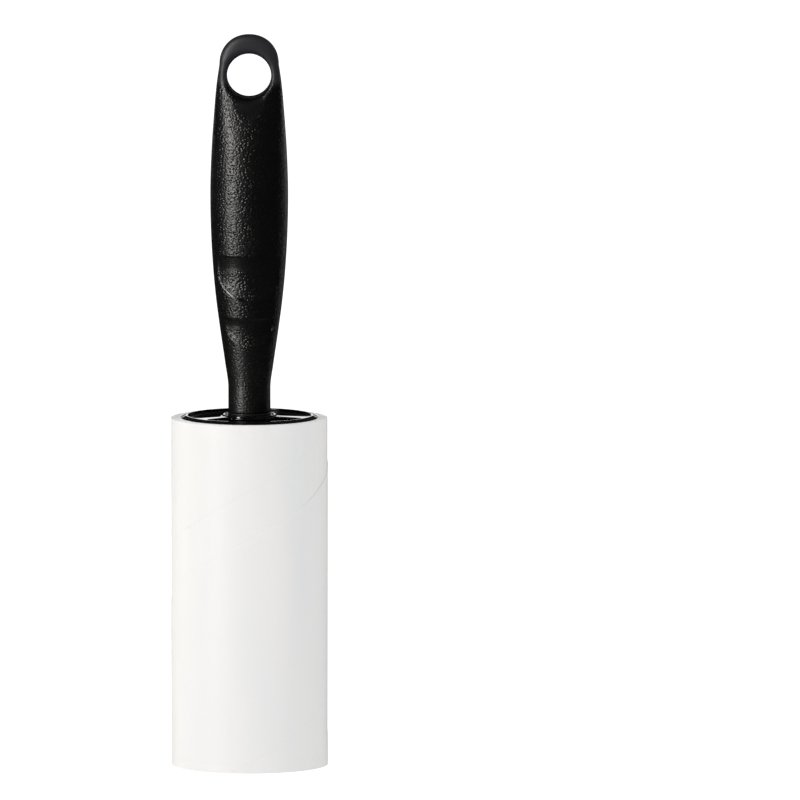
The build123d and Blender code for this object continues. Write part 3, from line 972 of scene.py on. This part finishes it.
def seen_directly(tree):
    """1 for the rays that show a background: camera, glossy and transmission rays."""
    path = tree.nodes.new("ShaderNodeLightPath").outputs
    both = math_node(tree, "MAXIMUM", path["Is Camera Ray"], path["Is Glossy Ray"])
    return math_node(tree, "MAXIMUM", both, path["Is Transmission Ray"])


def floor_material():
    """Pale floor: lit as paint is, lifted to white where it is seen as background, and clear
    from below, so that the object's underside can be looked at."""
    material = bpy.data.materials.new("floor")
    material.use_nodes = True
    tree = material.node_tree
    tree.nodes.clear()
    paint = tree.nodes.new("ShaderNodeBsdfDiffuse")
    paint.inputs["Color"].default_value = (FLOOR_PAINT, FLOOR_PAINT, FLOOR_PAINT, 1)
    glow = tree.nodes.new("ShaderNodeEmission")
    tree.links.new(times(tree, seen_directly(tree), FLOOR_GLOW), glow.inputs["Strength"])
    both = tree.nodes.new("ShaderNodeAddShader")
    tree.links.new(paint.outputs[0], both.inputs[0])
    tree.links.new(glow.outputs[0], both.inputs[1])
    sided = tree.nodes.new("ShaderNodeMixShader")
    below = tree.nodes.new("ShaderNodeNewGeometry").outputs["Backfacing"]
    tree.links.new(below, sided.inputs[0])
    tree.links.new(both.outputs[0], sided.inputs[1])
    tree.links.new(tree.nodes.new("ShaderNodeBsdfTransparent").outputs[0], sided.inputs[2])
    output = tree.nodes.new("ShaderNodeOutputMaterial")
    tree.links.new(sided.outputs[0], output.inputs["Surface"])
    return material


SQUARE = [(-1, -1), (1, -1), (1, 1), (-1, 1)]
corners = [(FLOOR_REACH * x, FLOOR_REACH * y, FLOOR_Z) for x, y in SQUARE]
stage_object("floor", corners, [(0, 1, 2, 3)], floor_material())

world = bpy.data.worlds.new("studio")
world.use_nodes = True
bpy.context.scene.world = world
tree = world.node_tree
background = tree.nodes["Background"]
brightness = ramp_between(tree, seen_directly(tree), 0, 1, AMBIENT, 1.0)
tree.links.new(brightness, background.inputs["Strength"])
background.inputs["Color"].default_value = (1, 1, 1, 1)


def around(azimuth, elevation, distance):
    """A place round the object; azimuth 0 is in front of it and 90 is on its right."""
    a, e = math.radians(azimuth), math.radians(elevation)
    flat = distance * math.cos(e)
    return Vector((flat * math.sin(a), -flat * math.cos(a), distance * math.sin(e)))


def softbox(name, spot, size, power, colour=WHITE, diffuse=True, glossy=True):
    """A rectangular light at an azimuth, elevation and distance, of a width and height. It may
    be kept out of diffuse light or out of reflections."""
    light = bpy.data.lights.new(name, "AREA")
    light.shape = "RECTANGLE"
    light.size, light.size_y = size
    light.energy = power
    light.color = colour
    lamp = bpy.data.objects.new(name, light)
    bpy.context.scene.collection.objects.link(lamp)
    lamp.location = MIDDLE + around(*spot)
    lamp.rotation_euler = (MIDDLE - lamp.location).to_track_quat("-Z", "Y").to_euler()
    lamp.visible_diffuse = diffuse
    lamp.visible_glossy = glossy


softbox("key", (-49, 17, 0.85), (0.19, 0.72), 1.55, WARM)
softbox("gleam", (-49, 12, 0.80), (0.17, 0.60), 3.0, diffuse=False)
softbox("glint", (-55, 50, 0.75), (0.30, 0.10), 0.9, diffuse=False)
softbox("side", (-125, 8, 1.2), (0.4, 0.7), 3.2, WARM, glossy=False)
softbox("rim", (136, 4, 1.2), (0.10, 0.7), 0.15)
softbox("skim", (180, 8, 1.2), (0.5, 0.14), 0.15, diffuse=False)

card_material = bpy.data.materials.new("card")
card_material.use_nodes = True
shader = card_material.node_tree.nodes["Principled BSDF"]
shader.inputs["Base Color"].default_value = (0.02, 0.02, 0.02, 1)
shader.inputs["Roughness"].default_value = 0.9


def dark_card(name, angles, rims):
    """A curved dark card that only reflections see, as a studio sets round black plastic.
    Each of its two rims is a distance from the object and a height."""
    vertices = []
    for angle in angles:
        for distance, height in rims:
            flat = around(angle, 0, distance)
            vertices.append((flat.x, flat.y, height))
    faces = [(2 * n, 2 * n + 2, 2 * n + 3, 2 * n + 1) for n in range(len(angles) - 1)]
    card = stage_object(name, vertices, faces, card_material)
    card.visible_camera = False
    card.visible_diffuse = False
    card.visible_transmission = False
    card.visible_shadow = False


CARD_REACH = 0.5
CARD_FOOT, CARD_TOP = -0.12, 0.8
GAP_FOOT, GAP_TOP = 0.149, 0.174  # the flange's bright ring reflects this gap between the cards
WALL = [(CARD_REACH, CARD_FOOT), (CARD_REACH, CARD_TOP)]
LOW_WALL = [(CARD_REACH, CARD_FOOT), (CARD_REACH, GAP_FOOT)]
HIGH_WALL = [(CARD_REACH, GAP_TOP), (CARD_REACH, CARD_TOP)]
CEILING = [(0.0, CARD_TOP), (CARD_REACH, CARD_TOP)]
GROUND = [(0.04, CARD_FOOT), (CARD_REACH, CARD_FOOT)]
dark_card("card_right", np.linspace(-42, 134.5, 24), WALL)
dark_card("card_left", np.linspace(-145, -58, 16), WALL)
dark_card("card_back", np.linspace(138, 215, 12), LOW_WALL)
dark_card("card_back_high", np.linspace(138, 215, 12), HIGH_WALL)
dark_card("card_ceiling", np.linspace(-180, 180, 49), CEILING)
dark_card("card_ground", np.linspace(-180, 180, 49), GROUND)

TARGET = Vector((0.0431, 0, 0.10498))  # the middle of the picture
camera_data = bpy.data.cameras.new("camera")
camera_data.lens = 900
camera_data.sensor_width = 36
camera_data.clip_start = 0.1
camera_data.clip_end = 60
camera = bpy.data.objects.new("camera", camera_data)
bpy.context.scene.collection.objects.link(camera)
camera.location = TARGET + around(azimuth=0, elevation=6.4, distance=5.724)
camera.rotation_euler = (TARGET - camera.location).to_track_quat("-Z", "Y").to_euler()
bpy.context.scene.camera = camera
bpy.context.scene.view_settings.view_transform = "Standard"

low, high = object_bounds()
